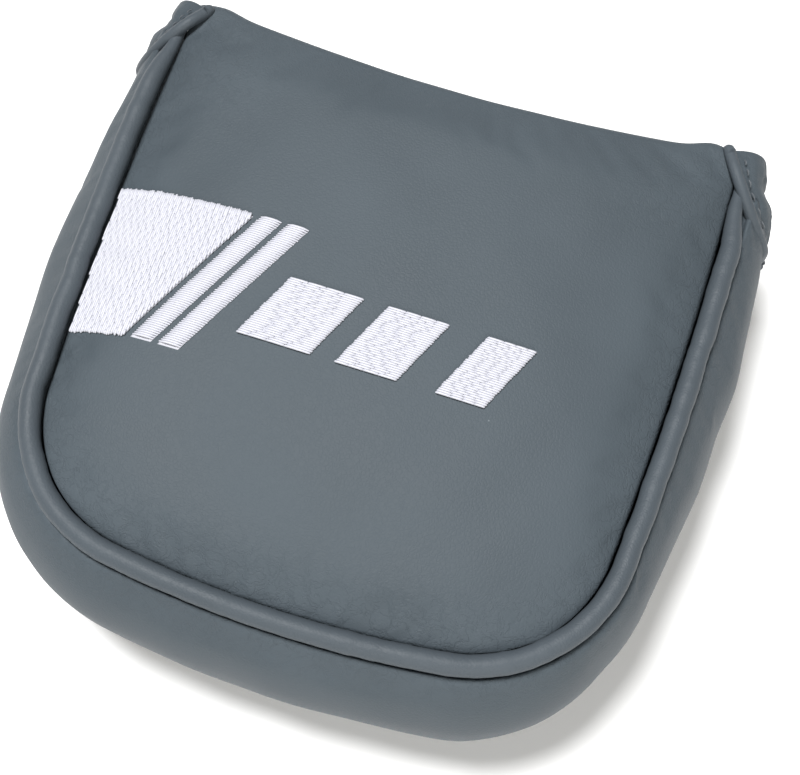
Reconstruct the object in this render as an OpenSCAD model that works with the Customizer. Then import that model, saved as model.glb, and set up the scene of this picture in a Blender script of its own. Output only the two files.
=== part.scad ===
// Slip-on cover for a mallet putter head, lying on its back with its mouth towards +Y.
// Soft walls are built up as the real ones are: leather outside, foam, plush inside.

/* [Outline] */
// Distance between the middles of the two side pipings, where they are widest
piping_span = 118; // [105:1:130]
// Depth from the middle of the bottom piping to the two corners of the mouth
corner_depth = 114; // [104:1:126]
// How far the middle of the mouth rim is cut back from its corners
rim_sag = 4.2; // [0:0.1:8]
// Radius of the bottom edge
bottom_r = 216; // [180:1:300]
// Radius of the two bottom corners
corner_r = 29; // [24:0.5:32]
// Radius of the two side edges
side_r = 810; // [700:10:1200]
// Lean of the side edges where they leave the corners, in degrees
side_lean = 5; // [3:0.5:6]

/* [Thickness] */
// Height of the side wall between the two seams
gusset_h = 41; // [34:0.5:48]
// How far the side wall bulges out between the seams
bulge = 8; // [4:0.5:10]
// Share of that bulge left at the mouth, where elastic pulls the wall in
mouth_bulge = 0.5; // [0.3:0.05:1]
// How far the front panel crowns above its seam
crown = 5.5; // [3:0.5:8]
// How far the back panel, flattened by the table, stands out from its seam
back_drop = 3.9; // [3:0.1:6]

/* [Materials] */
// Thickness of the leather
leather_t = 1.2; // [0.8:0.1:1.6]
// Thickness of the foam behind the two panels
foam_t = 3; // [2:0.5:4]
// Thickness of the foam behind the side wall
gusset_foam_t = 2; // [1:0.5:2.5]
// Thickness of the plush lining
lining_t = 1.4; // [1:0.1:1.8]
// Outer radius of the piping
piping_r = 2.05; // [1.8:0.05:2.2]
// Radius of the cord inside the piping
piping_cord_r = 1.15; // [0.8:0.05:1.3]

/* [Mouth] */
// Distance from the bottom piping to the fold that lets the front lip lift
fold_depth = 82; // [76:1:88]
// Width of the leather facing that is turned in at the mouth
facing_w = 15; // [10:1:20]
// Length of the notches that the side gores close, down from the mouth corners
gore_len = 13; // [12:0.5:16]
// How far a gore laps over the side wall
gore_lap = 4; // [3:0.5:5]
// Width of the elastic in each gore
elastic_w = 5; // [3:0.5:5]
// Length of one topstitch
stitch_len = 2; // [1.5:0.1:2.5]
// Thickness of the topstitching thread
stitch_t = 0.6; // [0.4:0.1:0.8]

/* [Emblem] */
// Height of the embroidered thread above the leather
thread_h = 0.7; // [0.4:0.1:1]
// Height of the filled block at the left edge
block_h = 31; // [20:1:34]
// Width of the filled block at its foot
block_w = 22; // [16:1:24]
// Height of the slanting bars
bar_h = 13; // [8:1:16]
// Number of slanting bars beside the block
bar_count = 3; // [1:1:3]

/* [Hidden] */

leather = "#6b7279";
leather_dark = "#5d6268";
foam = "#d9d4c4";
plush = "#2c2e31";
cord_white = "#e6e4dc";
thread_grey = "#596066";
thread_white = "#eceff8";
elastic_grey = "#3f4347";

gap = 0.1;           // between layers that lie on each other
fold_gap = 0.3;      // between the lip and the part that stays still
big = 400;           // larger than the whole cover

// Heights of the two seams, of the middle of the side wall and of the fold
back_z = back_drop + leather_t / 2;
front_z = back_z + gusset_h;
mid_z = (back_z + front_z) / 2;
fold_z = front_z + leather_t / 2 + crown;

// Edge clearances, measured inwards from the middle of the piping
edge_gap = 0.3;
cover_inset = piping_r + edge_gap;
layer_inset = leather_t / 2 + gusset_foam_t + lining_t + 2 * edge_gap + gap;
wall_top = piping_r + edge_gap;

// The lockstitch runs this far inside the piping and this far from its middle plane
seam_inset = cover_inset + 0.95;
seam_drop = 1.5;
seam_thread_r = 0.35;

// The outline runs from the bottom piping at y = 0; this shift centres the cover's box
mid_y = (corner_depth - bulge - leather_t / 2) / 2;

// Arc centres of the right half of the outline, each arc tangent to the next
half_span = piping_span / 2;
corner_out = corner_r * cos(side_lean) + side_r * (1 - cos(side_lean));
bottom_turn = asin((half_span - corner_out) / (bottom_r - corner_r));
corner_c = [
    (bottom_r - corner_r) * sin(bottom_turn),
    bottom_r - (bottom_r - corner_r) * cos(bottom_turn)
];
side_c = corner_c - (side_r - corner_r) * [cos(side_lean), -sin(side_lean)];
side_start = corner_c[1] - corner_r * sin(side_lean);

bottom_steps = 4;
corner_steps = 7;
side_steps = 8;
taper_start = 50;    // depth at which the side wall's bulge starts to shrink

// A station is [sign of x, kind of arc, angle or depth]
function bottom_stations(s) =
    [for (i = [1:bottom_steps]) [s, 0, -90 + bottom_turn * i / bottom_steps]];
function corner_stations(s) =
    [for (i = [1:corner_steps])
        [s, 1, -90 + bottom_turn + (90 - bottom_turn - side_lean) * i / corner_steps]];
function side_stations(s, y0, y1, steps = side_steps) =
    [for (i = [1:steps]) [s, 2, y0 + (y1 - y0) * i / steps]];
function right_half(y1) =
    concat(bottom_stations(1), corner_stations(1), side_stations(1, side_start, y1));
function flip(list) = [for (i = [len(list) - 1:-1:0]) list[i]];
function mirrored(list) = [for (s = list) [-s[0], s[1], s[2]]];
function whole_u(y1) =
    let (r = right_half(y1)) concat(mirrored(flip(r)), [[1, 0, -90]], r);
function side_only(s, y0, y1, steps = side_steps) =
    let (run = concat([[s, 2, y0]], side_stations(s, y0, y1, steps)))
    s > 0 ? run : flip(run);

// A station's point, moved outwards by d, and the share of the bulge that is left there
function arc_point(c, r, a) = [c[0] + r * cos(a), c[1] + r * sin(a)];
function side_x(y, d) = side_c[0] + sqrt(pow(side_r + d, 2) - pow(y - side_c[1], 2));
function spot(st, d) =
    let (p = st[1] == 0 ? arc_point([0, bottom_r], bottom_r + d, st[2])
           : st[1] == 1 ? arc_point(corner_c, corner_r + d, st[2])
           : [side_x(st[2], d), st[2]])
    [st[0] * p[0], p[1]];
function bulge_share(y) =
    y < taper_start ? 1
    : 1 - (1 - mouth_bulge) * (1 - cos(180 * (y - taper_start) / (corner_depth - taper_start))) / 2;

// Outward reach of the side wall at u, from -1 at the back seam to 1 at the front seam
wall_curve = 1.9;    // near 2 is round, larger is flatter in the middle
wall_shoulder = 0.72;
function wall_reach(u) = bulge * pow(1 - pow(abs(u), wall_curve), wall_shoulder);
wall_steps = 8;
function wall_side(d, u1) =
    [for (i = [0:wall_steps])
        let (u = u1 * (2 * i / wall_steps - 1))
        [d, wall_reach(u), mid_z + u * (gusset_h / 2 - wall_top)]];
// Closed profile of one layer of the side wall, between offsets d0 and d1
function wall_profile(d0, d1, u1 = 1) = concat(wall_side(d1, u1), flip(wall_side(d0, u1)));
function disc_profile(d, z, r, n) =
    [for (i = [0:n - 1]) [d + r * cos(360 * i / n), 0, z + r * sin(360 * i / n)]];

// Solid through one profile at each station; a profile point is [offset, bulge, height]
module swept_through(stations, profiles) {
    n = len(profiles[0]);
    m = len(stations);
    points = [for (i = [0:m - 1]) for (p = profiles[i])
        let (st = stations[i],
             share = bulge_share(spot(st, 0)[1]),
             q = spot(st, p[0] + p[1] * share))
        [q[0], q[1] - mid_y, p[2]]];
    walls = [for (i = [0:m - 2]) for (j = [0:n - 1])
        let (a = i * n + j, b = i * n + (j + 1) % n)
        each [[a, b, b + n], [a, b + n, a + n]]];
    // Each end is closed by strips from side to side, because a bulging profile isn't convex
    last = (m - 1) * n;
    caps = [for (j = [0:n / 2 - 2])
        let (a = j, b = j + 1, c = n - 2 - j, d = n - 1 - j)
        each [[c, b, a], [d, c, a],
              [last + a, last + b, last + c], [last + a, last + c, last + d]]];
    polyhedron(points, concat(walls, caps), convexity = 6);
}
module swept(stations, profile) {
    swept_through(stations, [for (st = stations) profile]);
}

// Height of a panel over its seam, for r from 0 at the middle of the rim to 1 at the seam
rings = [0, 0.35, 0.6, 0.8, 0.92, 1];
crown_curve = 2.6;
crown_shoulder = 0.8;
flat_share = 0.8;    // share of the back panel that lies flat on the table
function front_rise(r) = crown * pow(1 - pow(r, crown_curve), crown_shoulder);
function back_rise(r) =
    r <= flat_share ? back_drop
    : back_drop * (1 - pow((r - flat_share) / (1 - flat_share), 2));
function rise(front, r) = front ? front_rise(r) : -back_rise(r);
dip_power = 6;       // keeps the dip close to the rim
function rim_dip(x, y) =
    y - rim_sag * (1 - pow(x / half_span, 2)) * pow(max(y, 0) / corner_depth, dip_power);

// One layer of a panel: low and high are measured from the middle of the leather
module panel_layer(front, inset, low, high) {
    u = whole_u(corner_depth);
    n = len(u);
    k = len(rings) - 1;
    seam_z = front ? front_z : back_z;
    function layer(h) = [for (i = [1:k]) for (st = u)
        let (q = spot(st, -inset) * rings[i] + [0, corner_depth] * (1 - rings[i]))
        [q[0], rim_dip(q[0], q[1]) - mid_y, seam_z + rise(front, rings[i]) + h]];
    function hub(h) = [[0, rim_dip(0, corner_depth) - mid_y, seam_z + rise(front, 0) + h]];
    points = concat(layer(high), hub(high), layer(low), hub(low));
    s = k * n + 1;
    top = [for (i = [0:k - 2]) for (j = [0:n - 2])
        let (a = i * n + j)
        each [[a, a + n, a + n + 1], [a, a + n + 1, a + 1]]];
    fan = [for (j = [0:n - 2]) [k * n, j, j + 1]];
    under = [for (f = concat(top, fan)) [f[0] + s, f[2] + s, f[1] + s]];
    rim = concat([for (j = [0:n - 1]) (k - 1) * n + j],
                 [for (i = [k - 2:-1:0]) i * n + n - 1], [k * n],
                 [for (i = [0:k - 2]) i * n]);
    edge = [for (j = [0:len(rim) - 1])
        let (a = rim[j], b = rim[(j + 1) % len(rim)])
        each [[a, b + s, b], [a, a + s, b + s]]];
    polyhedron(points, concat(top, fan, under, edge), convexity = 6);
}

// Everything between two depths, measured from the bottom piping
module between(y0, y1) {
    intersection() {
        children();
        translate([-big / 2, y0 - mid_y, -big / 2]) cube([big, y1 - y0, big]);
    }
}
module still_part() {
    between(-big / 2, fold_depth - fold_gap / 2) children();
}
module lip_part() {
    between(fold_depth + fold_gap / 2, big / 2) children();
}

// Layer limits from the middle of the leather, going inwards
foam_top = -leather_t / 2 - gap;
foam_low = foam_top - foam_t;
lining_top = foam_low - gap;
lining_low = lining_top - lining_t;
facing_y = corner_depth - rim_sag - facing_w;

module front_leather() {
    panel_layer(true, cover_inset, -leather_t / 2, leather_t / 2);
}
module front_padding() {
    panel_layer(true, layer_inset, foam_low, foam_top);
}
module front_plush() {
    panel_layer(true, layer_inset, lining_low, lining_top);
}
module back_plush() {
    panel_layer(false, layer_inset, -lining_top, -lining_low);
}

module front_cover() {
    color(leather) still_part() front_leather();
}
module front_foam() {
    color(foam) still_part() front_padding();
}
module front_lining() {
    color(plush) still_part() front_plush();
}
module front_lip_cover() {
    color(leather) lip_part() front_leather();
}
module front_lip_foam() {
    color(foam) lip_part() front_padding();
}
module front_lip_lining() {
    color(plush) between(fold_depth + fold_gap / 2, facing_y - gap) front_plush();
}
module front_mouth_facing() {
    color(leather_dark) between(facing_y, big / 2) front_plush();
}
module back_cover() {
    color(leather) panel_layer(false, cover_inset, -leather_t / 2, leather_t / 2);
}
module back_foam() {
    color(foam) panel_layer(false, layer_inset, -foam_top, -foam_low);
}
module back_lining() {
    color(plush) between(-big / 2, facing_y - gap) back_plush();
}
module back_mouth_facing() {
    color(leather_dark) between(facing_y, big / 2) back_plush();
}

// Leather tube round the cord; the cord fills it all but the layer gap
mouth_setback = 2;   // the piping and the side wall stop this short of the mouth corners
piping_end = corner_depth - mouth_setback;
piping_sides = 14;
module tube(y_end, z) {
    difference() {
        swept(whole_u(y_end), disc_profile(0, z, piping_r, piping_sides));
        swept(whole_u(y_end + 1), disc_profile(0, z, piping_cord_r + gap, piping_sides));
    }
}
module lip_tube(s) {
    difference() {
        swept(side_only(s, fold_depth + fold_gap / 2, piping_end),
              disc_profile(0, front_z, piping_r, piping_sides));
        swept(side_only(s, fold_depth - 1, piping_end + 1),
              disc_profile(0, front_z, piping_cord_r + gap, piping_sides));
    }
}
// A plain round strand along one side of the lip; s is +1 for right and -1 for left
cord_sides = 8;
thread_sides = 6;
module lip_strand(s, d, z, r, sides) {
    swept(side_only(s, fold_depth + fold_gap / 2, piping_end), disc_profile(d, z, r, sides));
}
module back_piping() {
    color(leather_dark) tube(piping_end, back_z);
}
module back_piping_cord() {
    color(cord_white) swept(whole_u(piping_end), disc_profile(0, back_z, piping_cord_r, cord_sides));
}
module front_piping() {
    color(leather_dark) tube(fold_depth - fold_gap / 2, front_z);
}
module front_piping_cord() {
    color(cord_white)
        swept(whole_u(fold_depth - fold_gap / 2),
              disc_profile(0, front_z, piping_cord_r, cord_sides));
}
module front_lip_piping() {
    color(leather_dark) {
        lip_tube(1);
        lip_tube(-1);
    }
}
module front_lip_piping_cord() {
    color(cord_white) {
        lip_strand(1, 0, front_z, piping_cord_r, cord_sides);
        lip_strand(-1, 0, front_z, piping_cord_r, cord_sides);
    }
}

// The lockstitch that joins panel, piping and side wall, just inside each piping
module back_seam_thread() {
    color(thread_grey)
        swept(whole_u(piping_end),
              disc_profile(-seam_inset, back_z + seam_drop, seam_thread_r, thread_sides));
}
module front_seam_thread() {
    color(thread_grey)
        swept(whole_u(fold_depth - fold_gap / 2),
              disc_profile(-seam_inset, front_z - seam_drop, seam_thread_r, thread_sides));
}
module front_lip_seam_thread() {
    color(thread_grey) {
        lip_strand(1, -seam_inset, front_z - seam_drop, seam_thread_r, thread_sides);
        lip_strand(-1, -seam_inset, front_z - seam_drop, seam_thread_r, thread_sides);
    }
}

// Side wall, with a notch at each end that the gores close
wall_end = corner_depth - mouth_setback;
apex_y = corner_depth - gore_len;
notch_margin = 3;    // height of the wall left beside each seam at the mouth
notch_slope = (gusset_h / 2 - wall_top - notch_margin) / (wall_end - apex_y);
module notch() {
    reach = wall_end + 2 - apex_y;
    rotate([90, 0, 90])
        linear_extrude(big, center = true)
            polygon([
                [apex_y - mid_y, mid_z],
                [apex_y + reach - mid_y, mid_z + reach * notch_slope],
                [apex_y + reach - mid_y, mid_z - reach * notch_slope]
            ]);
}
module wall_layer(d0, d1) {
    difference() {
        swept(whole_u(wall_end), wall_profile(d0, d1));
        notch();
    }
}
gusset_foam_out = -leather_t / 2 - gap;
gusset_foam_in = gusset_foam_out - gusset_foam_t;
module gusset_cover() {
    color(leather) wall_layer(-leather_t / 2, leather_t / 2);
}
module gusset_foam() {
    color(foam) wall_layer(gusset_foam_in, gusset_foam_out);
}
module gusset_lining() {
    color(plush) wall_layer(gusset_foam_in - gap - lining_t, gusset_foam_in - gap);
}

// A gore lies over the notch and laps onto the wall round it
gore_in = leather_t / 2 + gap;
gore_out = gore_in + leather_t;
gore_steps = 4;
gore_tip = 0.08;         // share of the wall's height that it covers at its tip
function gore_span(y) =
    min(1, gore_tip + (y - apex_y + gore_lap) * notch_slope / (gusset_h / 2 - wall_top));
module gore(s) {
    stations = side_only(s, apex_y - gore_lap, wall_end, gore_steps);
    swept_through(stations,
                  [for (st = stations) wall_profile(gore_in, gore_out, gore_span(st[2]))]);
}
module left_gore() {
    color(leather) gore(-1);
}
module right_gore() {
    color(leather) gore(1);
}

// Elastic across the gore, inside the notch
elastic_y = corner_depth - 5;
elastic_span = 0.4;      // share of the wall's height that it covers
elastic_t = 1;
module gore_elastic(s) {
    swept(side_only(s, elastic_y - elastic_w / 2, elastic_y + elastic_w / 2, 1),
          wall_profile(-elastic_t / 2, elastic_t / 2, elastic_span));
}
module left_gore_elastic() {
    color(elastic_grey) gore_elastic(-1);
}
module right_gore_elastic() {
    color(elastic_grey) gore_elastic(1);
}

// A point just off the outside of the gore, at depth y and height z
function gore_point(s, y, z) =
    let (u = (z - mid_z) / (gusset_h / 2 - wall_top),
         reach = wall_reach(min(1, abs(u))) * bulge_share(y),
         q = spot([s, 2, y], gore_out + gap + stitch_t / 2 + reach))
    [q[0], q[1] - mid_y, z];
module rod(a, b, r) {
    v = b - a;
    translate(a)
        rotate([0, acos(v[2] / norm(v)), atan2(v[1], v[0])])
            cylinder(h = norm(v), r = r, $fn = 6);
}
// Two rows of stitches, one along each edge of the gore
stitch_count = 5;
edge_inset = 3;
module gore_stitching(s) {
    run = wall_end - 1 - (apex_y - gore_lap + edge_inset + 2);
    for (side = [-1, 1])
        for (i = [0:stitch_count - 1]) {
            y0 = apex_y - gore_lap + edge_inset + 2 + run * i / stitch_count;
            y1 = y0 + stitch_len * cos(atan(notch_slope));
            z0 = (y0 - apex_y + gore_lap - edge_inset) * notch_slope;
            z1 = (y1 - apex_y + gore_lap - edge_inset) * notch_slope;
            if (z1 < gusset_h / 2 - wall_top - 1)
                rod(gore_point(s, y0, mid_z + side * z0),
                    gore_point(s, y1, mid_z + side * z1), stitch_t / 2);
        }
}
module left_gore_stitching() {
    color(thread_grey) gore_stitching(-1);
}
module right_gore_stitching() {
    color(thread_grey) gore_stitching(1);
}

// Emblem: a filled block at the left edge and a row of narrowing, slanting bars
block_y = 39;
block_slant = 16;    // how much wider the block is at its top
foot_rise = 2;       // how much its foot climbs towards the middle
edge_w = 4;          // from the middle of the piping to the panel's edge, and a little more
bar_y = 47;
bar_slant = 6;
bar_pitch = 19;
bar_w = 14;          // width of the first bar
bar_step = 2.5;      // how much narrower each next bar is
bar_start = 10;      // from the block's foot to the first bar
module emblem_layer() {
    panel_layer(true, cover_inset, leather_t / 2 + gap, leather_t / 2 + gap + thread_h);
}
module prism(outline) {
    translate([0, -mid_y, 0]) linear_extrude(big) polygon(outline);
}
module embroidered_block() {
    x0 = -half_span;
    color(thread_white)
        intersection() {
            emblem_layer();
            prism([
                [x0, block_y],
                [x0 + edge_w + block_w, block_y + foot_rise],
                [x0 + edge_w + block_w + block_slant, block_y + block_h],
                [x0, block_y + block_h]
            ]);
        }
}
module embroidered_bars() {
    color(thread_white)
        for (i = [0:bar_count - 1]) {
            x0 = -half_span + edge_w + block_w + bar_start + i * bar_pitch;
            w = bar_w - i * bar_step;
            intersection() {
                emblem_layer();
                prism([
                    [x0, bar_y],
                    [x0 + w, bar_y],
                    [x0 + w + bar_slant, bar_y + bar_h],
                    [x0 + bar_slant, bar_y + bar_h]
                ]);
            }
        }
}

back_cover();
back_foam();
back_lining();
back_mouth_facing();
back_piping();
back_piping_cord();
back_seam_thread();
gusset_cover();
gusset_foam();
gusset_lining();
front_cover();
front_foam();
front_lining();
front_piping();
front_piping_cord();
front_seam_thread();
front_lip_cover();
front_lip_foam();
front_lip_lining();
front_mouth_facing();
front_lip_piping();
front_lip_piping_cord();
front_lip_seam_thread();
left_gore();
right_gore();
left_gore_elastic();
right_gore_elastic();
left_gore_stitching();
right_gore_stitching();
embroidered_block();
embroidered_bars();
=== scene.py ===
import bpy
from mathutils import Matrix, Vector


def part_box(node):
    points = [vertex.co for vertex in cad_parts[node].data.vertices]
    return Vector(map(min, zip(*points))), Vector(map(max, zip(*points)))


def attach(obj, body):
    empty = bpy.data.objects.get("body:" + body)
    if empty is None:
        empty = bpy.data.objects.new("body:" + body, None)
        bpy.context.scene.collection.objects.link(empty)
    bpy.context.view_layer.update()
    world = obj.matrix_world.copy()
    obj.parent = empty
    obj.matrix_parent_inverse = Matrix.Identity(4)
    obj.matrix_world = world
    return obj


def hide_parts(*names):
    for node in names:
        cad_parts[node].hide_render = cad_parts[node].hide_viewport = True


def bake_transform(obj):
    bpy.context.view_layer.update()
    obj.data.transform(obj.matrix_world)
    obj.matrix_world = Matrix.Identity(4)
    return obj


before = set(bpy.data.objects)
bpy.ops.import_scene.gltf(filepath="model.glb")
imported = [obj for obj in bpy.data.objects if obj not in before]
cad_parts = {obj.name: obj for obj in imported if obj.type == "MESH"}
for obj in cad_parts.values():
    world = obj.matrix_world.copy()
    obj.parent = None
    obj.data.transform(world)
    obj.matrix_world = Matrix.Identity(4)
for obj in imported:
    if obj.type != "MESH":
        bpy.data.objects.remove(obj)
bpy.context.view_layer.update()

import math
from functools import partial

import bmesh
import bpy
import numpy as np
from mathutils import Vector
from mathutils.bvhtree import BVHTree

# ---------------------------------------------------------------------------
# Camera, table and light
# The cover lies on its back on a white table, under a wide soft box that hangs
# above it and a little to its left, with another one low in front.
# ---------------------------------------------------------------------------
LENS_MM = 66.2
CAMERA_AZIMUTH = math.radians(18.1)
CAMERA_ELEVATION = math.radians(70.2)
CAMERA_DISTANCE = 0.270
LOOK_AT = Vector((0.0080, -0.0049, 0.0455))
COVER_MIDDLE = Vector((0, 0, 0.02))
TABLE_SIZE = 3.0


def aim(obj, target):
    """Turns a camera or a lamp towards a point."""
    obj.rotation_euler = (target - obj.location).to_track_quat("-Z", "Y").to_euler()


def linear(hex_colour):
    """An sRGB hex colour as linear red, green, blue and alpha."""
    def channel(v):
        return v / 12.92 if v <= 0.04045 else ((v + 0.055) / 1.055) ** 2.4
    values = [int(hex_colour[i:i + 2], 16) / 255 for i in (1, 3, 5)]
    return [channel(v) for v in values] + [1.0]


def add(tree, kind, inputs=None, **settings):
    """Adds a node, sets its properties, and sets or links its inputs."""
    node = tree.nodes.new(kind)
    for key, value in settings.items():
        setattr(node, key, value)
    for key, value in (inputs or {}).items():
        if isinstance(value, bpy.types.NodeSocket):
            tree.links.new(value, node.inputs[key])
        else:
            node.inputs[key].default_value = value
    return node


def new_material(name):
    """An empty node material and its tree, ready for a shader."""
    material = bpy.data.materials.new(name)
    material.use_nodes = True
    material.node_tree.nodes.clear()
    return material, material.node_tree


def put(name, data):
    """An object of some data, linked to the scene."""
    obj = bpy.data.objects.new(name, data)
    bpy.context.collection.objects.link(obj)
    return obj


def soft_box(name, location, size, watts, colour):
    """A round area lamp that faces the cover."""
    light = bpy.data.lights.new(name, "AREA")
    light.shape = "DISK"
    light.size = size
    light.energy = watts
    light.color = colour
    lamp = put(name, light)
    lamp.location = location
    aim(lamp, COVER_MIDDLE)


camera = put("camera", bpy.data.cameras.new("camera"))
camera.data.sensor_width = 36
camera.data.lens = LENS_MM
camera.location = LOOK_AT + CAMERA_DISTANCE * Vector((
    math.sin(CAMERA_AZIMUTH) * math.cos(CAMERA_ELEVATION),
    -math.cos(CAMERA_AZIMUTH) * math.cos(CAMERA_ELEVATION),
    math.sin(CAMERA_ELEVATION)))
aim(camera, LOOK_AT)
bpy.context.scene.camera = camera

# White matt laminate: it scatters evenly and shows only soft shadow
laminate, tree = new_material("white matt laminate")
coat = add(tree, "ShaderNodeBsdfPrincipled",
           {"Base Color": linear("#FBFBFB"), "Roughness": 0.9, "Specular IOR Level": 0.1})
add(tree, "ShaderNodeOutputMaterial", {"Surface": coat.outputs[0]})
table_mesh = bpy.data.meshes.new("table")
table_mesh.from_pydata([(x * TABLE_SIZE, y * TABLE_SIZE, 0)
                        for x, y in ((-1, -1), (1, -1), (1, 1), (-1, 1))], [], [(0, 1, 2, 3)])
table_mesh.materials.append(laminate)
table = put("table", table_mesh)

soft_box("top_soft_box", Vector((-0.46, 0.16, 2.05)), 0.60, 61.0, (1.0, 1.0, 1.0))
soft_box("front_soft_box", Vector((0.42, -0.92, 0.70)), 0.9, 9.5, (1.0, 0.98, 0.93))
world = bpy.data.worlds.new("bright studio")
world.use_nodes = True
world.node_tree.nodes["Background"].inputs["Color"].default_value = (1, 1, 1, 1)
world.node_tree.nodes["Background"].inputs["Strength"].default_value = 0.15
bpy.context.scene.world = world
bpy.context.scene.view_settings.view_transform = "Standard"

# ---------------------------------------------------------------------------
# Front panel
# Coated grey leather laid over 3 mm foam and cut to a U with a slightly hollow
# rim. Its edge is sewn down all round the U, so it crowns, and the rim is rolled in.
# ---------------------------------------------------------------------------
MM = 0.001
PIPING_SPAN = 118.0
CORNER_DEPTH = 114.0
RIM_SAG = 6.7
BOTTOM_R, CORNER_R, SIDE_R = 216.0, 29.0, 810.0
SIDE_LEAN = math.radians(5)
PIPING_R = 2.05
LEATHER_T = 1.2
CROWN = 5.5
PAD_T = 4.3                       # leather and foam together
PAD_TUCK = 1.35                   # how far the sewn edge lies below the seam's middle
ROLL_R = 2.0                      # radius of the rolled rim
PANEL_INSET = PIPING_R + 0.15     # from the middle of the piping to the panel's edge
UNDER_INSET = 4.7
CREASE_BAND = 15.0                # creases fade over this distance from the seam
PANEL_COLUMNS, PANEL_ROWS, ROLL_ROWS = 150, 140, 8
RIM_DEPTH = 113.6                 # where the rolled rim starts at the corners
FRONT_WAVE, FRONT_PUCKER = 0.07, 0.11

# Heights of the two seams, and the bottom piping's place along Y, from the frame
front_low, front_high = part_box("front_piping")
back_low, back_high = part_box("back_piping")
FRONT_Z = (front_low[2] + front_high[2]) / 2 / MM
BACK_Z = (back_low[2] + back_high[2]) / 2 / MM
BOTTOM_Y = front_low[1] / MM + PIPING_R
MID_Z = (FRONT_Z + BACK_Z) / 2
HALF_H = (FRONT_Z - BACK_Z) / 2

# The outline's right half is three arcs, each tangent to the next
corner_out = CORNER_R * math.cos(SIDE_LEAN) + SIDE_R * (1 - math.cos(SIDE_LEAN))
BOTTOM_TURN = math.asin((PIPING_SPAN / 2 - corner_out) / (BOTTOM_R - CORNER_R))
CORNER_C = np.array([(BOTTOM_R - CORNER_R) * math.sin(BOTTOM_TURN),
                     BOTTOM_R - (BOTTOM_R - CORNER_R) * math.cos(BOTTOM_TURN)])
SIDE_C = CORNER_C - (SIDE_R - CORNER_R) * np.array([math.cos(SIDE_LEAN), -math.sin(SIDE_LEAN)])
BOTTOM_LENGTH = BOTTOM_R * BOTTOM_TURN
CORNER_LENGTH = CORNER_R * (math.pi / 2 - BOTTOM_TURN - SIDE_LEAN)


def half_length(depth):
    """Length of the seam from the bottom's middle up to a depth on one side."""
    rise = np.arcsin((np.asarray(depth, float) - SIDE_C[1]) / SIDE_R)
    return BOTTOM_LENGTH + CORNER_LENGTH + SIDE_R * (rise + SIDE_LEAN)


def seam_at(along, out=0.0):
    """x and y at signed lengths along the seam, moved outwards by out."""
    t = np.abs(along)
    on_corner = t - BOTTOM_LENGTH
    on_side = on_corner - CORNER_LENGTH
    where = [on_corner < 0, on_side < 0]
    angle = np.select(where, [-math.pi / 2 + t / BOTTOM_R,
                              -math.pi / 2 + BOTTOM_TURN + on_corner / CORNER_R],
                      -SIDE_LEAN + on_side / SIDE_R)
    radius = np.select(where, [BOTTOM_R + 0 * t, CORNER_R + 0 * t], SIDE_R) + out
    centre_x = np.select(where, [0 * t, CORNER_C[0] + 0 * t], SIDE_C[0])
    centre_y = np.select(where, [BOTTOM_R + 0 * t, CORNER_C[1] + 0 * t], SIDE_C[1])
    x = (centre_x + radius * np.cos(angle)) * np.where(np.asarray(along) < 0, -1, 1)
    return x, centre_y + radius * np.sin(angle)


def ease(t):
    t = np.clip(t, 0, 1)
    return t * t * (3 - 2 * t)


def ripple(along, across, wave, seed):
    """Smooth repeatable waves from about -1 to 1, about one wave long."""
    rng = np.random.default_rng(seed)
    total = 0.0
    for _ in range(12):
        angle = rng.uniform(0, 2 * math.pi)
        f = 2 * math.pi / wave * rng.uniform(0.5, 1.8)
        total = total + np.sin(f * (along * math.cos(angle) + across * math.sin(angle))
                               + rng.uniform(0, 2 * math.pi))
    return total / 3.5


def pucker(along, away, seed):
    """Short gathers square to a seam, deepest beside it and gone a few millimetres off."""
    rng = np.random.default_rng(seed)
    total = 0.0
    for _ in range(16):
        wave = rng.uniform(2.2, 8.0)
        total = total + np.sin(2 * math.pi * along / wave + rng.uniform(0, 2 * math.pi)
                               + 0.25 * away)
    patchy = 0.55 + 0.45 * np.sin(along / 11.0 + seed) * np.sin(along / 5.3)
    return total / 4 * patchy * np.exp(-away / 2.8)


def rim_dip(x, y):
    """The panels are cut back in the middle of the rim, and full beside its corners."""
    bow = 1 - (2 * x / PIPING_SPAN) ** 2
    full = np.where(x < 0, 0.8, 1.5) * np.exp(-((np.abs(x) - 50.5) / 4) ** 2)
    return y - (RIM_SAG * bow - full) * (np.clip(y, 0, None) / CORNER_DEPTH) ** 6


def panel_grid(inset, columns, rows, depth):
    """x and y of a panel between its U edge and a depth, before the rim is cut back."""
    end = half_length(depth)
    turn = BOTTOM_LENGTH + CORNER_LENGTH / 2
    u = np.linspace(-1, 1, columns)[None, :]
    v = np.linspace(0, 1, rows)[:, None]
    bottom = np.stack(seam_at(u * turn, -inset), -1)
    right = np.stack(seam_at(turn + v * (end - turn), -inset), -1)
    left = right * [-1, 1]
    s, v = (u[..., None] + 1) / 2, v[..., None]
    top = left[-1:] * (1 - s) + right[-1:] * s
    corners = ((1 - v) * ((1 - s) * bottom[:, :1] + s * bottom[:, -1:])
               + v * ((1 - s) * top[:, :1] + s * top[:, -1:]))
    grid = (1 - v) * bottom + v * top + (1 - s) * left + s * right - corners
    return grid[..., 0], grid[..., 1]


edge_along = np.linspace(-half_length(CORNER_DEPTH), half_length(CORNER_DEPTH), 2001)
edge_x, edge_y = seam_at(edge_along, -PANEL_INSET)
edge_y = np.minimum(edge_y, CORNER_DEPTH - 1e-3)
edge_angle = np.arctan2(edge_y - CORNER_DEPTH, edge_x)
edge_reach = np.hypot(edge_x, edge_y - CORNER_DEPTH)


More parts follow.
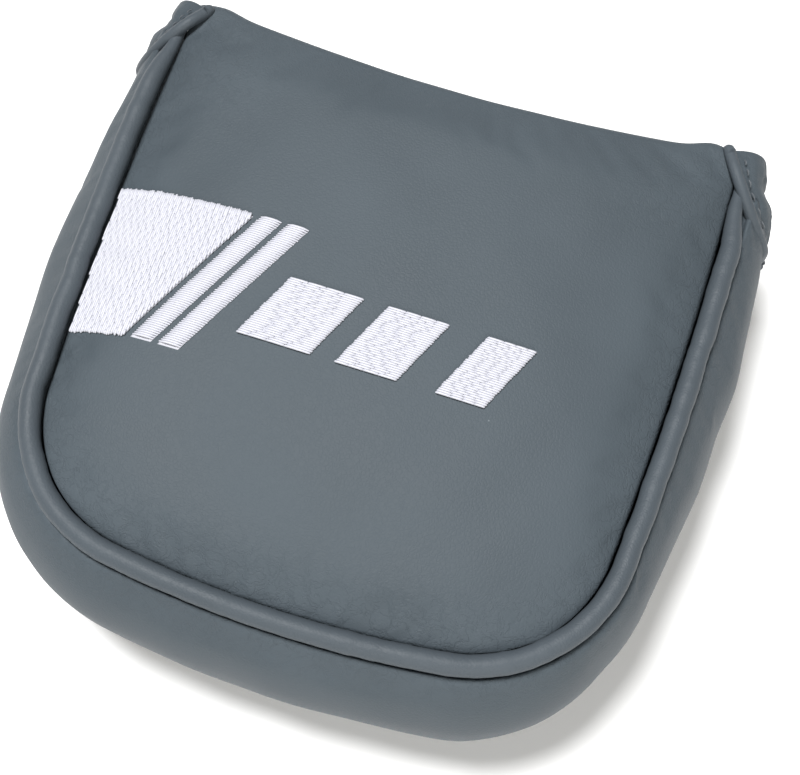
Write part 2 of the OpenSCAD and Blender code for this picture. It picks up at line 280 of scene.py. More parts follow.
def from_seam(x, y):
    """Share of the way from the rim's middle to the seam, place along it, and distance."""
    below = np.minimum(y, CORNER_DEPTH - 1e-3) - CORNER_DEPTH
    angle = np.arctan2(below, x)
    reach = np.interp(angle, edge_angle, edge_reach)
    gone = np.hypot(x, below)
    return (np.clip(gone / reach, 0, 1), np.interp(angle, edge_angle, edge_along),
            np.clip(reach - gone, 0, None))


def front_height(x, y):
    """Height of the smooth front panel's outside."""
    share = from_seam(x, y)[0]
    rise = (CROWN + LEATHER_T / 2 + PAD_TUCK) * (1 - share ** 2.6) ** 0.62
    return FRONT_Z - PAD_TUCK + rise - 2.4 * ease((y - 99) / 15) ** 1.5 * (1 - share ** 4)


def rolled(skin, up):
    """A panel's outside with its rim rolled over through half a circle: up is 1 or -1."""
    rolls = [skin[-1] + [0, ROLL_R * math.sin(a), up * ROLL_R * (1 - math.cos(a))]
             for a in np.linspace(0, math.pi, ROLL_ROWS + 1)[1:]]
    return np.concatenate([skin, rolls])


def worn(x, y):
    """How creased the leather is: most beside the seam, and some at the mouth's corners."""
    away = from_seam(x, y)[2]
    corner = np.hypot(np.abs(x) - 52, y - 104)
    rim = 0.45 * np.exp(-((CORNER_DEPTH - y) / 9) ** 2)
    return np.maximum.reduce([1 - ease(away / CREASE_BAND), 0.9 * np.exp(-(corner / 17) ** 2),
                              rim + 0 * x])


def make_object(name, points, faces, material=None, attributes=None):
    """A smooth object from points in millimetres, y counted from the bottom piping."""
    points = (np.asarray(points, float).reshape(-1, 3) + [0, BOTTOM_Y, 0]) * MM
    mesh = bpy.data.meshes.new(name)
    mesh.from_pydata(points.tolist(), [], faces)
    if material:
        mesh.materials.append(material)
    for key, values in (attributes or {}).items():
        layer = mesh.attributes.new(key, "FLOAT", "POINT")
        layer.data.foreach_set("value", np.asarray(values, np.float32).ravel())
    mesh.shade_smooth()
    return put(name, mesh)


def face_outward(obj):
    """Turns every face of a closed mesh outwards."""
    bm = bmesh.new()
    bm.from_mesh(obj.data)
    bmesh.ops.recalc_face_normals(bm, faces=bm.faces)
    bm.to_mesh(obj.data)
    bm.free()
    return obj


def grid_faces(rows, columns, start=0, closed=False):
    """Quads of a grid of points; closed joins its last column to its first."""
    faces = []
    for r in range(rows - 1):
        a = start + r * columns
        for c in range(columns if closed else columns - 1):
            d = (c + 1) % columns
            faces.append((a + c, a + d, a + columns + d, a + columns + c))
    return faces


def shell(name, outer, inner, material, attributes=None):
    """A closed layer between two grids of points with as many rows and columns."""
    rows, columns = outer.shape[:2]
    count = rows * columns
    loop = (list(range(columns)) + [r * columns + columns - 1 for r in range(1, rows)]
            + list(range(count - 2, count - columns - 1, -1))
            + [r * columns for r in range(rows - 2, 0, -1)])
    faces = grid_faces(rows, columns) + grid_faces(rows, columns, count)
    for a, b in zip(loop, loop[1:] + loop[:1]):
        faces.append((a, b, b + count, a + count))
    points = np.concatenate([outer.reshape(-1, 3), inner.reshape(-1, 3)])
    both = {k: np.tile(np.asarray(v).ravel(), 2) for k, v in (attributes or {}).items()}
    return face_outward(make_object(name, points, faces, material, both))


CLOTH_UNITS = 0.02                # the cloth is worked this many units to a millimetre
CLOTH_FRAMES = 20


def swell(points, sewn, growth, pressure, limit):
    """Lets a sewn-down skin swell and crease as cloth. No point moves as far as limit."""
    rows, columns = points.shape[:2]
    mesh = bpy.data.meshes.new("skin")
    mesh.from_pydata((points.reshape(-1, 3) * CLOTH_UNITS).tolist(), [], grid_faces(rows, columns))
    skin = put("skin", mesh)
    group = skin.vertex_groups.new(name="sewn")
    group.add(np.flatnonzero(sewn.ravel()).tolist(), 1.0, "REPLACE")
    cloth = skin.modifiers.new("cloth", "CLOTH")
    cloth.settings.vertex_group_mass = "sewn"
    cloth.settings.quality = 4
    cloth.settings.mass = 0.3
    cloth.settings.tension_stiffness = 25
    cloth.settings.compression_stiffness = 25
    cloth.settings.bending_stiffness = 1.5
    cloth.settings.shrink_min = -growth
    cloth.settings.use_pressure = True
    cloth.settings.uniform_pressure_force = pressure
    cloth.settings.effector_weights.gravity = 0
    cloth.collision_settings.use_collision = False
    cloth.point_cache.frame_start = 1
    cloth.point_cache.frame_end = CLOTH_FRAMES
    for number in range(1, CLOTH_FRAMES + 1):
        bpy.context.scene.frame_set(number)
    evaluated = skin.evaluated_get(bpy.context.evaluated_depsgraph_get())
    moved = np.empty(rows * columns * 3)
    evaluated.data.vertices.foreach_get("co", moved)
    step = moved.reshape(points.shape) / CLOTH_UNITS - points
    bpy.data.objects.remove(skin)
    bpy.data.meshes.remove(mesh)
    bpy.context.scene.frame_set(1)
    length = np.linalg.norm(step, axis=-1, keepdims=True)
    return points + step * limit * np.tanh(length / limit) / np.maximum(length, 1e-9)


def coated_leather(name, colour, crease, gloss, shine):
    """Split cowhide under a satin polyurethane film that carries an embossed grain.
    The eye sees a broad soft sheen, pebbles of 0.7 mm and short creases by the seams."""
    material, tree = new_material(name)
    place = add(tree, "ShaderNodeTexCoord").outputs["Object"]
    near_seam = add(tree, "ShaderNodeAttribute", attribute_name="worn").outputs["Fac"]
    drift = add(tree, "ShaderNodeTexNoise", {"Vector": place, "Scale": 700.0, "Detail": 2.0})
    centred = add(tree, "ShaderNodeVectorMath", {0: drift.outputs["Color"], 1: (0.5, 0.5, 0.5)},
                  operation="SUBTRACT")
    push = add(tree, "ShaderNodeVectorMath", {0: centred.outputs[0], "Scale": 0.0009},
               operation="SCALE")
    bent = add(tree, "ShaderNodeVectorMath", {0: place, 1: push.outputs[0]}, operation="ADD")
    pebble = add(tree, "ShaderNodeTexVoronoi", {"Vector": bent.outputs[0], "Scale": 1 / 0.0007},
                 feature="DISTANCE_TO_EDGE")
    grain = add(tree, "ShaderNodeMapRange",
                {"Value": pebble.outputs["Distance"], "From Max": 0.25, "To Max": 0.35},
                interpolation_type="SMOOTHSTEP")
    fold = add(tree, "ShaderNodeTexNoise",
               {"Vector": bent.outputs[0], "Scale": 1 / 0.0026, "Detail": 4.0, "Roughness": 0.6,
                "Distortion": 0.8})
    off_line = add(tree, "ShaderNodeMath", {0: fold.outputs["Fac"], 1: 0.5}, operation="SUBTRACT")
    side = add(tree, "ShaderNodeMath", {0: off_line.outputs[0]}, operation="ABSOLUTE")
    trough = add(tree, "ShaderNodeMapRange",
                 {"Value": side.outputs[0], "From Max": 0.05, "To Max": 1.0},
                 interpolation_type="SMOOTHSTEP")
    depth = add(tree, "ShaderNodeMapRange",
                {"Value": near_seam, "To Min": 0.05 * crease, "To Max": 1.1 * crease})
    creases = add(tree, "ShaderNodeMath", {0: trough.outputs[0], 1: depth.outputs[0]},
                  operation="MULTIPLY")
    height = add(tree, "ShaderNodeMath", {0: creases.outputs[0], 1: grain.outputs[0]},
                 operation="ADD")
    bump = add(tree, "ShaderNodeBump",
               {"Height": height.outputs[0], "Strength": 0.6, "Distance": 0.0001})
    cloud = add(tree, "ShaderNodeTexNoise", {"Vector": place, "Scale": 40.0, "Detail": 4.0})
    tint = add(tree, "ShaderNodeMapRange",
               {"Value": cloud.outputs["Fac"], "From Min": 0.3, "From Max": 0.7,
                "To Min": 0.94, "To Max": 1.06})
    shade = add(tree, "ShaderNodeVectorMath", {0: linear(colour)[:3], "Scale": tint.outputs[0]},
                operation="SCALE")
    lint = add(tree, "ShaderNodeTexVoronoi", {"Vector": place, "Scale": 1 / 0.011})
    speck = add(tree, "ShaderNodeMapRange",
                {"Value": lint.outputs["Distance"], "From Min": 0.010, "From Max": 0.022,
                 "To Min": 0.35, "To Max": 0.0})
    skin = add(tree, "ShaderNodeMix",
               {0: speck.outputs[0], 6: shade.outputs[0], 7: linear("#9AA1A5")},
               data_type="RGBA")
    rough = add(tree, "ShaderNodeMapRange",
                {"Value": cloud.outputs["Fac"], "From Min": 0.3, "From Max": 0.7,
                 "To Min": gloss - 0.04, "To Max": gloss + 0.05})
    film = add(tree, "ShaderNodeBsdfPrincipled",
               {"Base Color": skin.outputs[2], "Roughness": rough.outputs[0],
                "Specular IOR Level": shine, "Normal": bump.outputs[0]})
    add(tree, "ShaderNodeOutputMaterial", {"Surface": film.outputs[0]})
    return material


grey_leather = coated_leather("grey coated leather", "#485056", 1.0, 0.52, 0.12)

x, y = panel_grid(PANEL_INSET, PANEL_COLUMNS, PANEL_ROWS, RIM_DEPTH)
along, away = from_seam(x, y)[1:]
front_skin = np.stack([x, rim_dip(x, y), front_height(x, y)], -1)
front_skin[..., 2] += FRONT_WAVE * ripple(x, y, 18, 3) * ease(away / 8)
sewn_edge = np.zeros(x.shape)
sewn_edge[0, :] = sewn_edge[-1, :] = sewn_edge[:, 0] = sewn_edge[:, -1] = 1
front_skin = swell(front_skin, sewn_edge, 0.004, 0.2, 0.6)
front_skin[..., 2] += FRONT_PUCKER * pucker(along, away, 5) * (sewn_edge == 0)
front_creases = worn(x, y)

# The rolled rim is caught under the foam
outer = rolled(front_skin, -1)
x, y = panel_grid(UNDER_INSET, PANEL_COLUMNS, PANEL_ROWS + ROLL_ROWS, RIM_DEPTH)
inner = np.stack([x, rim_dip(x, y), front_height(x, y) - PAD_T], -1)
creases = np.concatenate([front_creases, np.repeat(front_creases[-1:], ROLL_ROWS, 0)])
front_panel = shell("front_panel", outer, inner, grey_leather, {"worn": creases})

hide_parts("front_cover", "front_foam", "front_lip_cover", "front_lip_foam")
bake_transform(front_panel)

# ---------------------------------------------------------------------------
# Back panel
# The same leather and foam as the front. The cover lies on it, so it is pressed
# flat but for a rounded border, and its rim is rolled in too.
# ---------------------------------------------------------------------------
FLAT_SHARE = 0.8                  # share of the way to the seam that lies flat
BACK_WAVE, BACK_PUCKER = 0.12, 0.12


def back_height(x, y):
    """Height of the back panel's outside, which is 0 where it lies on the table."""
    share = from_seam(x, y)[0]
    climb = np.clip((share - FLAT_SHARE) / (1 - FLAT_SHARE), 0, 1)
    return (BACK_Z + PAD_TUCK) * (1 - (1 - climb ** 2.3) ** 0.7)


x, y = panel_grid(PANEL_INSET, PANEL_COLUMNS, PANEL_ROWS, RIM_DEPTH)
along, away = from_seam(x, y)[1:]
back_skin = np.stack([x, rim_dip(x, y), back_height(x, y)], -1)
back_skin[..., 2] += BACK_PUCKER * pucker(along, away, 9) * (sewn_edge == 0)
back_skin[..., 2] += BACK_WAVE * np.clip(ripple(x, y, 15, 8), 0, None)
back_skin[..., 2] = np.clip(back_skin[..., 2], 0.0, None)
outer = rolled(back_skin, 1)
x, y = panel_grid(UNDER_INSET, PANEL_COLUMNS, PANEL_ROWS + ROLL_ROWS, RIM_DEPTH)
inner = np.stack([x, rim_dip(x, y), back_height(x, y) + PAD_T], -1)
back_panel = shell("back_panel", outer, inner, grey_leather, {"worn": creases})
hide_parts("back_cover", "back_foam")
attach(back_panel, "pouch")

# ---------------------------------------------------------------------------
# Gusset
# One long strip of the same leather over 2 mm foam, sewn between the two panels.
# It bulges out between its seams and ends in a notch at each side of the mouth.
# ---------------------------------------------------------------------------
MOUTH_BULGE = 0.68                # share of the bulge that the elastic leaves
TAPER_START = 50.0
# Share of the bulge that is missing, by length along the strip from the bottom's middle
SLACK = [(-115, 0.02), (-100, 0.03), (-85, 0.09), (-70, 0.12), (-57, 0.13), (-45, 0.17), (-31, 0.15),
         (-15, 0.16), (20, 0.16), (35, 0.15), (46, 0.24), (58, 0.41), (70, 0.42), (82, 0.33),
         (93, 0.24), (105, 0.19), (116, 0.07), (128, 0.02)]
GUSSET_T = 3.2
GUSSET_WAVE, GUSSET_PUCKER = 0.14, 0.16
WALL_END = 112.0
NOTCH = [(0.0, 105.0), (15.0, 104.6), (19.2, 107.5)]      # height from the middle, and depth
GUSSET_COLUMNS = 420

# From the middle up to the edge tucked beside the piping: outward place that stays,
# outward place that shrinks with the bulge, and height above the middle
GUSSET_SECTION = [(0.6, 11.0, 0.0), (0.6, 10.6, 4.5), (0.65, 9.2, 9.1), (1.2, 6.6, 13.1),
                  (2.1, 3.3, 15.9), (2.9, 0.7, 17.6), (2.75, 0.0, 18.35), (2.2, 0.0, 18.5),
                  (1.75, 0.0, 18.1), (1.5, 0.0, 17.4)]


def bulge_share(along, y):
    """The strip swells most on the left, least round the right corner and at the mouth."""
    fall = (1 - np.cos(math.pi * (y - TAPER_START) / (CORNER_DEPTH - TAPER_START))) / 2
    taper = np.where(y < TAPER_START, 1.0, 1 - (1 - MOUTH_BULGE) * fall)
    return taper - np.interp(along, *zip(*SLACK))


def smooth_path(knots, count):
    """Points at even steps of a smooth curve through the knots."""
    knots = np.asarray(knots, float)
    padded_knots = np.concatenate([[2 * knots[0] - knots[1]], knots, [2 * knots[-1] - knots[-2]]])
    t = np.linspace(0, len(knots) - 1, count)
    i = np.minimum(t.astype(int), len(knots) - 2)
    f = (t - i)[:, None]
    a, b, c, d = (padded_knots[i + k] for k in range(4))
    return 0.5 * (2 * b + (c - a) * f + (2 * a - 5 * b + 4 * c - d) * f ** 2
                  + (3 * b - a - 3 * c + d) * f ** 3)


def gusset_grid(depth, count, height_limit=50.0):
    """Points of the gusset at a depth under its outside, as rows from back seam to front."""
    half = smooth_path(GUSSET_SECTION, count)
    section = np.concatenate([half[:0:-1] * [1, 1, -1], half])
    stay, shrink, up = (section[:, k][:, None] for k in range(3))
    up = np.clip(up, -height_limit, height_limit)
    end = np.interp(np.abs(up), *zip(*NOTCH))
    along = np.linspace(-1, 1, GUSSET_COLUMNS)[None, :] * half_length(end)
    seam_y = seam_at(along)[1]
    x, y = seam_at(along, stay + shrink * bulge_share(along, seam_y) - depth)
    return np.stack([x, y, MID_Z + up + 0 * x], -1), along, HALF_H - np.abs(up) + 0 * x


outer, along, away = gusset_grid(0.0, 24)
free = np.ones(along.shape)
free[0, :] = free[-1, :] = free[:, 0] = free[:, -1] = 0
free[:5, :] = free[-5:, :] = 0
outer = swell(outer, free == 0, 0.004, 0.08, 0.45)
outward = np.stack(seam_at(along, 1.0), -1) - np.stack(seam_at(along, 0.0), -1)
front_side = outer[..., 2] > MID_Z
gather = pucker(along, away, 12) * front_side + pucker(along, away, 17) * ~front_side
lumps = (GUSSET_PUCKER * gather
         + GUSSET_WAVE * ripple(along, outer[..., 2], 20, 21) * ease(away / 9))
outer[..., :2] += outward * (lumps * free)[..., None]
inner = gusset_grid(GUSSET_T, 24, HALF_H - 2.5)[0]
gusset = shell("gusset", outer, inner, grey_leather, {"worn": 1 - ease((away - 1) / 11)})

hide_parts("gusset_cover", "gusset_foam")
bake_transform(gusset)

# ---------------------------------------------------------------------------
# Pipings
# A strip of thinner leather wrapped round a 2.3 mm polyester cord and caught in
# each seam. It thins out where it runs under the gores at the mouth.
# ---------------------------------------------------------------------------
PIPING_END = 107.0
TAPER_DEPTH = 92.0
DRAWN_INWARD = 1.1                # how far its end is drawn in under the gore
THINS_BY, CORD_THINS_BY = 0.42, 0.5
CORD_R = 1.15
PIPING_STATIONS = 620


def tube(name, path, radius, sides, material, attributes=None):
    """A round tube along a path of points, with closed ends; radius is for each point."""
    path = np.asarray(path, float)
    radius = np.broadcast_to(radius, len(path))
    tangent = np.gradient(path, axis=0)
    tangent /= np.linalg.norm(tangent, axis=1, keepdims=True)
    normal = np.cross(tangent[0], [0.0, 0.3, 1.0])
    normals = []
    for t in tangent:
        normal = normal - t * (normal @ t)
        normal = normal / np.linalg.norm(normal)
        normals.append(normal)
    normals = np.array(normals)
    binormals = np.cross(tangent, normals)
    turn = np.linspace(0, 2 * math.pi, sides, endpoint=False)[None, :, None]
    rings = path[:, None] + radius[:, None, None] * (
        np.cos(turn) * normals[:, None] + np.sin(turn) * binormals[:, None])
    faces = grid_faces(len(path), sides, closed=True)
    faces.append(tuple(range(sides)))
    faces.append(tuple(range((len(path) - 1) * sides, len(path) * sides)))
    each = {k: np.repeat(v, sides) for k, v in (attributes or {}).items()}
    return face_outward(make_object(name, rings, faces, material, each))


def along_seam(depth_end, z, out=0.0, count=PIPING_STATIONS):
    """A path along the whole seam at one height, and the signed lengths of its points."""
    along = np.linspace(-1, 1, count) * half_length(depth_end)
    x, y = seam_at(along, out)
    return np.stack([x, y, z + 0 * x], -1), along


def ribbed_fibre(name, colour, roughness, sheen, ribs, strength, depth):
    """Fibre with fine ribs: ribs holds the wave's scale, distortion and direction."""
    material, tree = new_material(name)
    place = add(tree, "ShaderNodeTexCoord").outputs["Object"]
    wave = add(tree, "ShaderNodeTexWave",
               {"Vector": place, "Scale": ribs[0], "Distortion": ribs[1]}, bands_direction=ribs[2])
    bump = add(tree, "ShaderNodeBump",
               {"Height": wave.outputs["Fac"], "Strength": strength, "Distance": depth})
    fibre = add(tree, "ShaderNodeBsdfPrincipled",
                {"Base Color": linear(colour), "Roughness": roughness, "Sheen Weight": sheen,
                 "Normal": bump.outputs[0]})
    add(tree, "ShaderNodeOutputMaterial", {"Surface": fibre.outputs[0]})
    return material


piping_leather = coated_leather("grey piping leather", "#484F55", 0.35, 0.50, 0.2)

# Polyester cord, twisted from white filament: only its ends could ever show
cord_fibre = ribbed_fibre("white polyester cord", "#E6E4DC", 0.75, 0.2,
                          (260.0, 2.0, "DIAGONAL"), 0.7, 0.0002)

for side, seam_z in (("front", FRONT_Z), ("back", BACK_Z)):
    path, along = along_seam(PIPING_END, seam_z)
    path[:, 0] -= DRAWN_INWARD * np.sign(along) * ease((path[:, 1] - TAPER_DEPTH) / 12)
    thin = ease((path[:, 1] - TAPER_DEPTH) / (PIPING_END - TAPER_DEPTH))
    kinks = 1 + 0.018 * ripple(along, 0 * along, 9, 31) + 0.012 * ripple(along, 0 * along, 3, 32)
    path[:, 0] += 0.10 * ripple(along, 0 * along, 14, 33)
    path[:, 2] += 0.06 * ripple(along, 0 * along, 11, 34) - 0.5 * thin * np.sign(seam_z - MID_Z)
    piping = tube(side + "_edge_piping", path, PIPING_R * kinks * (1 - THINS_BY * thin), 20,
                  piping_leather, {"worn": 0.35 + 0.3 * ripple(along, 0 * along, 12, 35)})
    cord = tube(side + "_edge_cord", path[2:-2], CORD_R * (1 - CORD_THINS_BY * thin[2:-2]), 8,
                cord_fibre)
    if side == "front":
        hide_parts("front_piping", "front_lip_piping")
        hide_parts("front_piping_cord", "front_lip_piping_cord")
        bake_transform(piping)
        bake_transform(cord)
    else:
        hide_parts("back_piping")
        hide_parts("back_piping_cord")
        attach(piping, "pouch")
        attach(cord, "pouch")

# ---------------------------------------------------------------------------
# Seam threads
# Bonded grey polyester lockstitch that holds panel, piping and gusset together.
# It runs just inside each piping, and swells and pinches once for each stitch.
# ---------------------------------------------------------------------------
SEAM_STITCH = 3.0
SEAM_THREAD_R, SEAM_THREAD_SWELL = 0.22, 0.12
THREAD_INSET = 2.9
THREAD_DROP = 2.35

# Three twisted plies under a bonded film, which gives a dull gleam
grey_thread = ribbed_fibre("grey bonded polyester thread", "#4C5258", 0.5, 0.15,
                           (500.0, 1.5, "DIAGONAL"), 0.6, 0.0001)

for side, seam_z, up in (("front", FRONT_Z, -1), ("back", BACK_Z, 1)):
    path, along = along_seam(WALL_END - 1, seam_z + up * THREAD_DROP, -THREAD_INSET, 900)
    swing = np.abs(np.sin(math.pi * along / SEAM_STITCH))
    radius = SEAM_THREAD_R + SEAM_THREAD_SWELL * swing
    thread = tube(side + "_seam_stitching", path, radius, 6, grey_thread)
    if side == "front":
        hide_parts("front_seam_thread", "front_lip_seam_thread")
        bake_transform(thread)
    else:
        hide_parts("back_seam_thread")
        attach(thread, "pouch")

# ---------------------------------------------------------------------------
# Plush lining
# Dark brushed polyester fleece behind both panels and the gusset. It protects
# the putter's finish, and ends under the leather facing at the mouth.
# ---------------------------------------------------------------------------
LINING_T = 1.4
LINING_GAP = 0.15
LINING_INSET = 5.2
NAP_DEPTH = 0.15
FACING_START = 96.0

# Brushed fleece: a short soft nap that scatters light at its edges
fleece, tree = new_material("charcoal brushed polyester fleece")
place = add(tree, "ShaderNodeTexCoord").outputs["Object"]
nap = add(tree, "ShaderNodeTexNoise", {"Vector": place, "Scale": 1 / 0.0009, "Detail": 6.0,
                                       "Roughness": 0.75})
tuft = add(tree, "ShaderNodeTexNoise", {"Vector": place, "Scale": 1 / 0.005, "Detail": 3.0})
nap_bump = add(tree, "ShaderNodeBump",
               {"Height": nap.outputs["Fac"], "Strength": 1.0, "Distance": 0.0006})
tone = add(tree, "ShaderNodeMapRange", {"Value": tuft.outputs["Fac"], "To Min": 0.7, "To Max": 1.4})
pile = add(tree, "ShaderNodeVectorMath", {0: linear("#2E3033")[:3], "Scale": tone.outputs[0]},
           operation="SCALE")
cloth = add(tree, "ShaderNodeBsdfPrincipled",
            {"Base Color": pile.outputs[0], "Roughness": 0.95, "Sheen Weight": 0.6,
             "Sheen Roughness": 0.5, "Specular IOR Level": 0.15, "Normal": nap_bump.outputs[0]})
add(tree, "ShaderNodeOutputMaterial", {"Surface": cloth.outputs[0]})


def panel_layer(name, height, top, thickness, material, x, y, nap_depth=0.0):
    """A closed layer that follows a panel, top below its outside (negative: above)."""
    sign = -1 if height is front_height else 1
    z = height(x, y) + sign * top
    soft = nap_depth * ripple(x, y, 5, 41)
    outside = np.stack([x, rim_dip(x, y), z], -1)
    inside = np.stack([x, rim_dip(x, y), z + sign * (thickness + soft)], -1)
    return shell(name, outside, inside, material)


def rim_strip(inset, start, end, columns, rows):
    """x and y of a strip from side to side between two depths."""
    y = np.linspace(start, end, rows)[:, None] + np.zeros(columns)
    reach = SIDE_C[0] + np.sqrt(SIDE_R ** 2 - (y - SIDE_C[1]) ** 2) - inset
    return np.linspace(-1, 1, columns) * reach, y


x, y = panel_grid(LINING_INSET, 90, 80, FACING_START)
under = PAD_T + LINING_GAP
front_plush = panel_layer("front_plush", front_height, under, LINING_T, fleece, x, y, NAP_DEPTH)
back_plush = panel_layer("back_plush", back_height, under, LINING_T, fleece, x, y, NAP_DEPTH)
outer = gusset_grid(GUSSET_T + LINING_GAP, 12, HALF_H - 6.0)[0]
inner = gusset_grid(GUSSET_T + LINING_GAP + LINING_T, 12, HALF_H - 6.0)[0]
gusset_plush = shell("gusset_plush", outer, inner, fleece)
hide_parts("front_lining", "front_lip_lining")
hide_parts("back_lining")
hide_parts("gusset_lining")
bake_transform(front_plush)
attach(back_plush, "pouch")
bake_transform(gusset_plush)

# ---------------------------------------------------------------------------
# Mouth facings
# A band of the grey leather, 15 mm wide, turned in behind each rim. It hides the
# foam and the lining's edge where a hand and the putter rub.
# ---------------------------------------------------------------------------
facing_leather = coated_leather("dark facing leather", "#4A4F54", 0.8, 0.52, 0.12)
x, y = rim_strip(LINING_INSET, FACING_START + 0.2, RIM_DEPTH - 0.2, 90, 22)
front_facing = panel_layer("front_facing", front_height, under, LINING_T, facing_leather, x, y)
back_facing = panel_layer("back_facing", back_height, under, LINING_T, facing_leather, x, y)
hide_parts("front_mouth_facing")
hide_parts("back_mouth_facing")
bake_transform(front_facing)
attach(back_facing, "pouch")

# ---------------------------------------------------------------------------
# Side gores
# A tongue of leather over each notch, with a rolled hem that laps over the
# piping's end. A strip of elastic inside gathers it, which gives it its waist.
# ---------------------------------------------------------------------------
GORE_T = 2.4
HEM_R = 1.2
GORE_ROWS, GORE_COLUMNS = 40, 49
GORE_ROLL = 6                     # rows of the fold at the mouth
DRAWN_IN = 1.6                    # how far the left gore's mouth is drawn in
TOPSTITCHES, TOPSTITCH_R = 9, 0.17
TOPSTITCH_SHARE = 0.052           # of the way from the tip to the mouth, for one stitch
BAND_T, BAND_GAP = 0.9, 0.45      # the elastic, and its gap from the gore's inside
GATHER_DEPTH = 0.22
SHOULDER = 0.65                   # where the shoulder line lies, from middle 0 to edge 1
# Lines from the tip to the mouth on the right side, as x, y and height: the front
# edge, the shoulder that shows as the outline from above, and the middle
GORE_EDGE = [(67.1, 103.2, 26.0), (67.0, 102.4, 30.0), (66.2, 101.4, 35.0), (63.1, 102.2, 41.0),
             (59.4, 105.1, 45.5), (56.3, 108.9, 47.3), (54.0, 113.3, 46.6)]
GORE_SHOULDER = [(67.1, 103.2, 25.65), (67.1, 104.6, 30.0), (66.4, 106.4, 34.5), (65.0, 108.8, 38.5),
                 (62.3, 111.2, 41.0), (62.0, 113.8, 42.0), (61.6, 115.9, 42.0)]
GORE_MIDDLE = [(67.1, 103.2, 25.0), (67.7, 104.8, 25.0), (67.2, 106.6, 25.0), (66.2, 108.8, 25.0),
               (64.4, 110.8, 25.0), (63.6, 112.8, 25.0), (62.8, 114.6, 25.0)]


def gore_point(mouthward, across):
    """Points of the right gore's outside: tip 0 to mouth 1, back edge -1 to front edge 1."""
    steps = np.linspace(0, 1, 201)
    edge, shoulder, middle = (
        np.stack([np.interp(mouthward, steps, line[:, k]) for k in range(3)], -1)
        for line in (smooth_path(knots, 201) for knots in (GORE_EDGE, GORE_SHOULDER, GORE_MIDDLE)))
    a = np.asarray(across)[..., None] + 0 * edge[..., :1]
    # x and y are even across the gore and the height is odd, so that front and back are alike
    to_edge, to_shoulder = edge - middle, shoulder - middle
    fourth = (to_shoulder - SHOULDER ** 2 * to_edge) / (SHOULDER ** 4 - SHOULDER ** 2)
    third = (to_shoulder - SHOULDER * to_edge) / (SHOULDER ** 3 - SHOULDER)
    even = middle + (to_edge - fourth) * a ** 2 + fourth * a ** 4
    odd = middle + (to_edge - third) * a + third * a ** 3
    return np.concatenate([even[..., :2], odd[..., 2:]], -1)


def gore_frame(mouthward, across):
    """Unit vectors at points of the gore: mouthward along it, and outwards."""
    forward = (gore_point(np.minimum(mouthward + 0.02, 1), across)
               - gore_point(np.maximum(mouthward - 0.02, 0), across))
    up = gore_point(mouthward, across + 0.02) - gore_point(mouthward, across - 0.02)
    outward = np.cross(forward, up)
    return (forward / np.linalg.norm(forward, axis=-1, keepdims=True),
            outward / np.linalg.norm(outward, axis=-1, keepdims=True))


def gore_surface(mouthward, across, depth=0.0):
    """Points at a depth under the gore's outside."""
    mouthward = np.asarray(mouthward, float)
    across = np.asarray(across, float) + 0 * mouthward
    depth = np.asarray(depth, float) + 0 * mouthward
    return gore_point(mouthward, across) - depth[..., None] * gore_frame(mouthward, across)[1]


def mouth_fold(across, radius, count, turn=math.pi):
    """Rows of points that fold the gore's mouth edge inwards."""
    at_mouth = np.ones(np.shape(across))
    forward, outward = gore_frame(at_mouth, across)
    edge = gore_point(at_mouth, across)
    return np.stack([edge + radius * (math.sin(t) * forward - (1 - math.cos(t)) * outward)
                     for t in np.linspace(0, turn, count + 1)[1:]])


def stitch_tree():
    """Geometry nodes that lay a round thread along every stitch line."""
    tree = bpy.data.node_groups.new("laid threads", "GeometryNodeTree")
    face = tree.interface
    face.new_socket("Stitch lines", in_out="INPUT", socket_type="NodeSocketGeometry")
    face.new_socket("Thread radius", in_out="INPUT", socket_type="NodeSocketFloat")
    face.new_socket("Thread sides", in_out="INPUT", socket_type="NodeSocketInt")
    face.new_socket("Thread", in_out="INPUT", socket_type="NodeSocketMaterial")
    face.new_socket("Threads", in_out="OUTPUT", socket_type="NodeSocketGeometry")
    source = add(tree, "NodeGroupInput")
    lines = add(tree, "GeometryNodeMeshToCurve", {"Mesh": source.outputs["Stitch lines"]})
    body = add(tree, "GeometryNodeInputNamedAttribute", {"Name": "body"}, data_type="FLOAT")
    sized = add(tree, "GeometryNodeSetCurveRadius",
                {"Curve": lines.outputs["Curve"], "Radius": body.outputs["Attribute"]})
    ring = add(tree, "GeometryNodeCurvePrimitiveCircle",
               {"Resolution": source.outputs["Thread sides"],
                "Radius": source.outputs["Thread radius"]})
    thread = add(tree, "GeometryNodeCurveToMesh",
                 {"Curve": sized.outputs["Curve"], "Profile Curve": ring.outputs["Curve"],
                  "Scale": body.outputs["Attribute"], "Fill Caps": True})
    real = add(tree, "GeometryNodeRealizeInstances", {"Geometry": thread.outputs["Mesh"]})
    painted = add(tree, "GeometryNodeSetMaterial",
                  {"Geometry": real.outputs["Geometry"], "Material": source.outputs["Thread"]})
    done = add(tree, "NodeGroupOutput")
    tree.links.new(painted.outputs["Geometry"], done.inputs["Threads"])
    return tree


laid_threads = stitch_tree()


